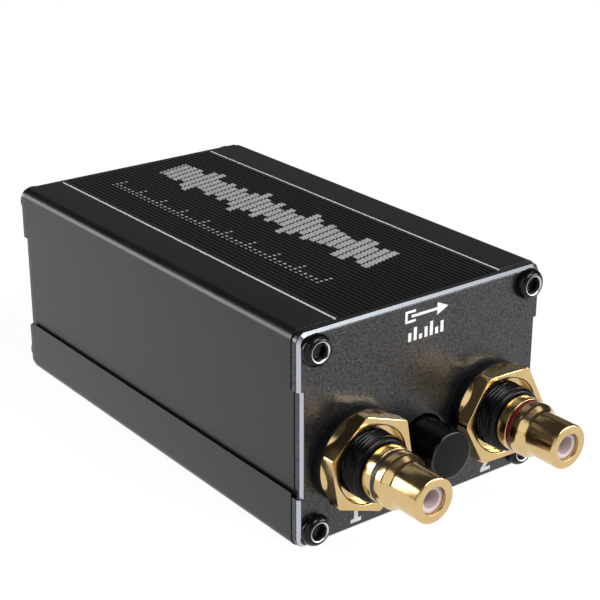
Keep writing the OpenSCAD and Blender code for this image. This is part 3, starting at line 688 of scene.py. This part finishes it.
def make_button():
    """Turned cap with a rounded front edge and a square socket for the plunger."""
    def place(point):
        return on_panel(-1, 0.0, BUTTON_Z, point)

    half = PLUNGER_W / 2

    def square(angle):
        return half / max(abs(math.cos(angle)), abs(math.sin(angle)))

    corners = [(BUTTON_R, -BUTTON_IN, 0), (BUTTON_R, BUTTON_OUT, 0.36)]
    profile = [(square, BUTTON_OUT - 1.95), (square, -BUTTON_IN)]
    profile += rounded(corners + [(0, BUTTON_OUT, 0)])[0:-1]
    profile.append((0, BUTTON_OUT))
    profile.insert(0, (0, BUTTON_OUT - 1.95))
    rim = range(len(profile) - 6, len(profile) - 2)
    mesh = turned_mesh("button_turned", profile, place, steps=96, second=rim)
    smooth_by_angle(mesh)
    add_piece(mesh.name, mesh, "button", "button", ("button_cap",))
    mesh.materials.append(MATERIALS["button_rim"])


# Print on the front panel

def flat_plate(name, outlines, end, x, z, lift=0.012, thick=0.02):
    """Thin plates of ink from 2-D outlines, upright on a panel's face."""
    work = bmesh.new()
    for outline in outlines:
        base = []
        for a, b in outline:
            point = Vector((x - end * a, end * (FACE_Y + lift), z + b))
            base.append(work.verts.new(point * MM))
        grown = bmesh.ops.extrude_face_region(work, geom=[work.faces.new(base)])
        verts = [v for v in grown["geom"] if isinstance(v, bmesh.types.BMVert)]
        bmesh.ops.translate(work, verts=verts, vec=(0.0, end * thick * MM, 0.0))
    bmesh.ops.recalc_face_normals(work, faces=work.faces)
    mesh = bpy.data.meshes.new(name)
    work.to_mesh(mesh)
    work.free()
    return add_piece(name, mesh, "ink", "case")


def box_outline(x0, z0, x1, z1):
    return [(x0, z0), (x1, z0), (x1, z1), (x0, z1)]


ONE = [
    box_outline(-1.15, 0.0, 1.15, 0.72),
    [(-0.42, 0.72), (0.42, 0.72), (0.42, 3.7), (-0.2, 3.7), (-1.1, 3.0), (-1.1, 2.5), (-0.42, 2.7)],
]
TWO = [
    box_outline(-1.2, 0.0, 1.2, 0.72),
    [
        (-1.2, 0.72), (-0.1, 0.72), (1.15, 2.1), (1.15, 3.1), (0.6, 3.7), (-0.6, 3.7), (-1.15, 3.1),
        (-1.15, 2.5), (-0.4, 2.5), (-0.35, 2.9), (0.3, 2.95), (0.4, 2.75), (0.4, 2.35),
    ],
]
LEVELS = (1.6, 2.4, 0.9, 1.9, 2.6, 1.2, 2.1)


def make_prints(end_name):
    """An arrow through a frame over a row of level bars, and the two channel numbers."""
    end = ENDS[end_name]
    outlines = [
        box_outline(-4.7, 0.75, -4.2, 2.95), box_outline(-4.2, 0.75, -2.4, 1.2), box_outline(-4.2, 2.5, -2.4, 2.95),
        box_outline(-3.3, 1.6, 2.4, 2.1),
        [(2.4, 0.7), (4.9, 1.85), (2.4, 3.0)],
    ]
    for k, level in enumerate(LEVELS):
        x = -3.6 + k * 1.2
        outlines.append(box_outline(x - 0.34, -2.7, x + 0.34, -2.7 + level))
    flat_plate(end_name + "_symbols", outlines, end, 0.0, 34.8)
    for mark, outlines, side in (("one", ONE, -1), ("two", TWO, 1)):
        x = side * (SOCKET_XS[end] + MARK_SHIFT * side)
        flat_plate(end_name + "_channel_" + mark, outlines, end, x, MARK_Z)


MARK_Z = 1.5
MARK_SHIFT = 0.45


# Camera, lights and floor

CAMERA_AT = (-160.51, -223.48, 136.09)
CAMERA_YAW = 37.139
CAMERA_PITCH = 22.25
CAMERA_LENS = 92.38


def make_camera():
    data = bpy.data.cameras.new("camera")
    data.lens = CAMERA_LENS
    data.sensor_width = 36.0
    data.clip_start = 0.01
    data.clip_end = 20.0
    camera = bpy.data.objects.new("camera", data)
    camera.location = Vector(CAMERA_AT) * MM
    camera.rotation_euler = (math.radians(90.0 - CAMERA_PITCH), 0.0, math.radians(-CAMERA_YAW))
    bpy.context.scene.collection.objects.link(camera)
    bpy.context.scene.camera = camera


def make_lamp(name, at, aim, size, share, color=(1.0, 1.0, 1.0)):
    """A square softbox. share is how bright a white surface that faces it would be."""
    at, aim = Vector(at), Vector(aim)
    data = bpy.data.lights.new(name, "AREA")
    data.shape = "RECTANGLE"
    data.size, data.size_y = size
    data.energy = share * math.pi ** 2 * (at - aim).length_squared
    data.color = color
    lamp = bpy.data.objects.new(name, data)
    lamp.location = at
    lamp.rotation_euler = (aim - at).to_track_quat("-Z", "Y").to_euler()
    bpy.context.scene.collection.objects.link(lamp)


def make_lights():
    middle = (0.0, 0.0, 0.02)
    make_lamp("left", (-0.93, -0.40, 0.45), middle, (0.9, 0.9), 0.24)
    make_lamp("front", (0.25, -0.95, 0.85), middle, (0.68, 0.68), 0.68)
    make_lamp("front_right", (0.82, -0.88, 0.17), middle, (0.5, 0.32), 0.44)
    make_lamp("upper_right", (0.66, -0.40, 0.80), middle, (0.45, 0.45), 0.06)
    make_lamp("edge_card", (-0.74, 0.985, 0.24), middle, (0.46, 0.42), 0.24)
    make_lamp("barrel_card", (-0.864, 0.725, 0.40), middle, (0.24, 0.76), 0.24)
    make_lamp("back_right", (0.70, 0.93, 0.49), middle, (0.9, 0.7), 0.014)


def make_world():
    """A dim room for light and reflections behind a white backdrop."""
    world = bpy.data.worlds.new("studio")
    bpy.context.scene.world = world
    world.use_nodes = True
    nodes, links = world.node_tree.nodes, world.node_tree.links
    path = nodes.new("ShaderNodeLightPath")
    shade = nodes.new("ShaderNodeMix")
    shade.data_type = "RGBA"
    links.new(path.outputs["Is Camera Ray"], shade.inputs["Factor"])
    shade.inputs["A"].default_value = (0.05, 0.05, 0.053, 1.0)
    shade.inputs["B"].default_value = (1.0, 1.0, 1.0, 1.0)
    links.new(shade.outputs["Result"], nodes["Background"].inputs["Color"])


def make_floor():
    """Pale floor that the camera and reflections see as white, with a soft shadow."""
    size = 6.0
    mesh = bpy.data.meshes.new("floor")
    mesh.from_pydata([(-size, -size, 0), (size, -size, 0), (size, size, 0), (-size, size, 0)], [], [(0, 1, 2, 3)])
    floor = bpy.data.objects.new("floor", mesh)
    floor.location.z = -0.02 * MM
    bpy.context.scene.collection.objects.link(floor)
    mat = bpy.data.materials.new("floor_white")
    mat.use_nodes = True
    nodes, links = mat.node_tree.nodes, mat.node_tree.links
    nodes.remove(nodes["Principled BSDF"])
    path = nodes.new("ShaderNodeLightPath")
    seen = nodes.new("ShaderNodeMath")
    seen.operation = "MAXIMUM"
    also = nodes.new("ShaderNodeMath")
    also.operation = "MAXIMUM"
    links.new(path.outputs["Is Camera Ray"], seen.inputs[0])
    links.new(path.outputs["Is Glossy Ray"], seen.inputs[1])
    links.new(seen.outputs[0], also.inputs[0])
    links.new(path.outputs["Is Transmission Ray"], also.inputs[1])
    plain = nodes.new("ShaderNodeBsdfDiffuse")
    plain.inputs["Color"].default_value = (0.75, 0.75, 0.75, 1.0)
    soft = nodes.new("ShaderNodeBsdfDiffuse")
    soft.inputs["Color"].default_value = (0.13, 0.13, 0.13, 1.0)
    glow = nodes.new("ShaderNodeEmission")
    glow.inputs["Strength"].default_value = 0.94
    both = nodes.new("ShaderNodeAddShader")
    links.new(soft.outputs[0], both.inputs[0])
    links.new(glow.outputs[0], both.inputs[1])
    choose = nodes.new("ShaderNodeMixShader")
    links.new(also.outputs[0], choose.inputs[0])
    links.new(plain.outputs[0], choose.inputs[1])
    links.new(both.outputs[0], choose.inputs[2])
    links.new(choose.outputs[0], nodes["Material Output"].inputs["Surface"])
    mesh.materials.append(mat)


# Build

PLAIN_NODES = {
    "front_inner_nuts": "contact", "rear_inner_nuts": "contact",
    "front_ground_lugs": "tinned", "rear_ground_lugs": "tinned",
    "signal_wires": "tinned", "ground_wires": "tinned", "circuit_board": "board",
    "left_core": "core", "right_core": "core", "left_bobbin": "bobbin", "right_bobbin": "bobbin",
    "left_winding": "winding", "right_winding": "winding", "left_pins": "tinned", "right_pins": "tinned",
    "switch_housing": "switch", "switch_plunger": "button", "switch_spring": "spring", "switch_pins": "tinned",
}
for node_name, material_name in PLAIN_NODES.items():
    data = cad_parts[node_name].data
    data.materials.clear()
    data.materials.append(MATERIALS[material_name])

dressed("top_shell", "roof", 0.12)
dressed("bottom_shell", "case", 0.22, segments=3)
dressed("front_panel", "panel", 0.12)
dressed("rear_panel", "panel", 0.12)
for end_key in ENDS:
    make_screws(end_key)
    for side_key in SIDES:
        make_socket(end_key, side_key)
make_button()
for end_key in ENDS:
    make_prints(end_key)

make_camera()
make_lights()
make_world()
make_floor()
bpy.context.scene.view_settings.view_transform = "Standard"
